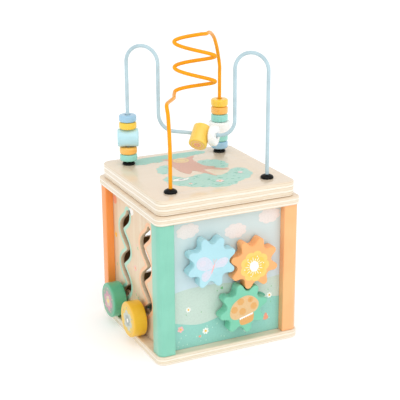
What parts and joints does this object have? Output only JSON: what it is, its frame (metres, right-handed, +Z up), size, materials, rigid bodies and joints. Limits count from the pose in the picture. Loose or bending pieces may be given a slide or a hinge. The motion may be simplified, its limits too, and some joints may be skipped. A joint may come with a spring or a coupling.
{
  "type": "activity cube with shape sorter",
  "caption": "Wooden activity cube with a bead maze on its lid, meshing gears, wavy slide tracks, a shape sorter panel and a toy clock.",
  "frame": {"origin": "centre of the base plate's underside", "axes": "+Z up, -Y out of the gear side, -X out of the slide-track side, +Y out of the shape sorter side"},
  "size_m": [0.2105, 0.2041, 0.3941],
  "materials": {
    "natural_ply": "lacquered birch plywood",
    "mint_paint": "satin painted wood",
    "peach_paint": "satin painted wood",
    "orange_paint": "satin painted wood",
    "yellow_paint": "satin painted wood",
    "blue_paint": "satin painted wood",
    "aqua_paint": "satin painted wood",
    "green_paint": "satin painted wood",
    "white_paint": "satin painted wood",
    "printed_board": "printed and varnished board",
    "orange_wire_coat": "glossy powder coat",
    "blue_wire_coat": "glossy powder coat",
    "black_cap": "glossy",
    "bright_steel": "zinc plated"
  },
  "bodies": {
    "case": {"base_plate": "natural_ply", "front_left_post": "mint_paint", "front_right_post": "peach_paint", "back_left_post": "orange_paint", "back_right_post": "mint_paint", "base_screw_1": "bright_steel", "base_screw_2": "bright_steel", "base_screw_3": "bright_steel", "base_screw_4": "bright_steel", "gear_panel": "printed_board", "track_panel": "natural_ply", "sorter_panel": "natural_ply", "clock_panel": "natural_ply", "rim_frame": "natural_ply", "orange_gear_rivet": "bright_steel", "blue_gear_rivet": "bright_steel", "green_gear_rivet": "bright_steel", "clock_rivet": "bright_steel"},
    "lid": {"lid_board": "natural_ply", "lid_locator": "natural_ply", "front_left_wire_cap": "black_cap", "back_left_wire_cap": "black_cap", "back_right_wire_cap": "black_cap", "front_right_wire_cap": "black_cap", "orange_wire": "orange_wire_coat", "blue_wire": "blue_wire_coat"},
    "blue_bead_low": {"blue_bead_low": "blue_paint"},
    "mint_bead_low": {"mint_bead_low": "mint_paint"},
    "white_bead_big": {"white_bead_big": "white_paint"},
    "mint_bead_high": {"mint_bead_high": "mint_paint"},
    "orange_bead_high": {"orange_bead_high": "peach_paint"},
    "yellow_bead_high": {"yellow_bead_high": "yellow_paint"},
    "mint_bead_side": {"mint_bead_side": "mint_paint"},
    "orange_bead_side": {"orange_bead_side": "peach_paint"},
    "aqua_barrel_bead": {"aqua_barrel_bead": "aqua_paint"},
    "yellow_bead_side": {"yellow_bead_side": "yellow_paint"},
    "blue_bead_side": {"blue_bead_side": "blue_paint"},
    "yellow_barrel_bead": {"yellow_barrel_bead": "yellow_paint"},
    "white_ring_bead": {"white_ring_bead": "white_paint"},
    "orange_gear": {"orange_gear": "peach_paint"},
    "blue_gear": {"blue_gear": "blue_paint"},
    "green_gear": {"green_gear": "mint_paint"},
    "green_slider": {"green_slider_pin": "natural_ply", "green_slider_retainer": "natural_ply"},
    "green_knob": {"green_knob": "green_paint"},
    "yellow_slider": {"yellow_slider_pin": "natural_ply", "yellow_slider_retainer": "natural_ply"},
    "yellow_knob": {"yellow_knob": "yellow_paint"},
    "square_block": {"square_block": "mint_paint"},
    "round_block": {"round_block": "peach_paint"},
    "triangle_block": {"triangle_block": "yellow_paint"},
    "hexagon_block": {"hexagon_block": "blue_paint"},
    "hour_hand": {"hour_hand": "peach_paint"},
    "minute_hand": {"minute_hand": "mint_paint"}
  },
  "joints": [
    {"name": "lid_lift", "type": "slide", "parent": "case", "child": "lid", "axis": [0, 0, 1], "range_m": [0, 0.12]},
    {"name": "blue_bead_low_lift", "type": "slide", "parent": "lid", "child": "blue_bead_low", "axis": [0, 0, 1], "range_m": [0, 0.0055]},
    {"name": "mint_bead_low_lift", "type": "slide", "parent": "blue_bead_low", "child": "mint_bead_low", "axis": [0, 0, 1], "range_m": [0, 0.0055]},
    {"name": "white_bead_big_lift", "type": "slide", "parent": "mint_bead_low", "child": "white_bead_big", "axis": [0, 0, 1], "range_m": [0, 0.0055]},
    {"name": "mint_bead_high_lift", "type": "slide", "parent": "white_bead_big", "child": "mint_bead_high", "axis": [0, 0, 1], "range_m": [0, 0.0055]},
    {"name": "orange_bead_high_lift", "type": "slide", "parent": "mint_bead_high", "child": "orange_bead_high", "axis": [0, 0, 1], "range_m": [0, 0.0055]},
    {"name": "yellow_bead_high_lift", "type": "slide", "parent": "orange_bead_high", "child": "yellow_bead_high", "axis": [0, 0, 1], "range_m": [0, 0.0055]},
    {"name": "mint_bead_side_lift", "type": "slide", "parent": "lid", "child": "mint_bead_side", "axis": [0, 0, 1], "range_m": [0, 0.013]},
    {"name": "orange_bead_side_lift", "type": "slide", "parent": "mint_bead_side", "child": "orange_bead_side", "axis": [0, 0, 1], "range_m": [0, 0.013]},
    {"name": "aqua_barrel_bead_lift", "type": "slide", "parent": "orange_bead_side", "child": "aqua_barrel_bead", "axis": [0, 0, 1], "range_m": [0, 0.013]},
    {"name": "yellow_bead_side_lift", "type": "slide", "parent": "aqua_barrel_bead", "child": "yellow_bead_side", "axis": [0, 0, 1], "range_m": [0, 0.013]},
    {"name": "blue_bead_side_lift", "type": "slide", "parent": "yellow_bead_side", "child": "blue_bead_side", "axis": [0, 0, 1], "range_m": [0, 0.013]},
    {"name": "yellow_barrel_bead_slide", "type": "slide", "parent": "lid", "child": "yellow_barrel_bead", "axis": [-0.7071, 0.7071, 0], "range_m": [0, 0.02]},
    {"name": "white_ring_bead_slide", "type": "slide", "parent": "lid", "child": "white_ring_bead", "axis": [0.7071, -0.7071, 0], "range_m": [0, 0.003]},
    {"name": "orange_gear_spin", "type": "hinge", "parent": "case", "child": "orange_gear", "pos_m": [0.0312, -0.0875, 0.1168], "axis": [0, -1, 0], "continuous": true},
    {"name": "blue_gear_spin", "type": "hinge", "parent": "case", "child": "blue_gear", "pos_m": [-0.02856, -0.0875, 0.12853], "axis": [0, -1, 0], "continuous": true},
    {"name": "green_gear_spin", "type": "hinge", "parent": "case", "child": "green_gear", "pos_m": [0.01667, -0.0875, 0.05766], "axis": [0, -1, 0], "continuous": true},
    {"name": "green_slider_slide", "type": "slide", "parent": "case", "child": "green_slider", "axis": [0, -0.6771, 0.7359], "range_m": [0, 0.03397]},
    {"name": "green_knob_spin", "type": "hinge", "parent": "green_slider", "child": "green_knob", "pos_m": [-0.0875, 0.0465, 0.035], "axis": [-1, 0, 0], "continuous": true},
    {"name": "yellow_slider_slide", "type": "slide", "parent": "case", "child": "yellow_slider", "axis": [0, -0.6771, 0.7359], "range_m": [0, 0.03397]},
    {"name": "yellow_knob_spin", "type": "hinge", "parent": "yellow_slider", "child": "yellow_knob", "pos_m": [-0.0875, -0.0225, 0.035], "axis": [-1, 0, 0], "continuous": true},
    {"name": "square_block_lift", "type": "slide", "parent": "case", "child": "square_block", "axis": [0, 0, 1], "range_m": [0, 0.135]},
    {"name": "round_block_lift", "type": "slide", "parent": "case", "child": "round_block", "axis": [0, 0, 1], "range_m": [0, 0.135]},
    {"name": "triangle_block_lift", "type": "slide", "parent": "case", "child": "triangle_block", "axis": [0, 0, 1], "range_m": [0, 0.135]},
    {"name": "hexagon_block_lift", "type": "slide", "parent": "case", "child": "hexagon_block", "axis": [0, 0, 1], "range_m": [0, 0.135]},
    {"name": "hour_hand_turn", "type": "hinge", "parent": "case", "child": "hour_hand", "pos_m": [0.0875, 0, 0.098], "axis": [-1, 0, 0], "continuous": true},
    {"name": "minute_hand_turn", "type": "hinge", "parent": "case", "child": "minute_hand", "pos_m": [0.0875, 0, 0.098], "axis": [-1, 0, 0], "continuous": true}
  ],
  "couplings": [
    {"joint": "blue_gear_spin", "follows": "orange_gear_spin", "ratio": -1},
    {"joint": "green_gear_spin", "follows": "orange_gear_spin", "ratio": -1}
  ]
}
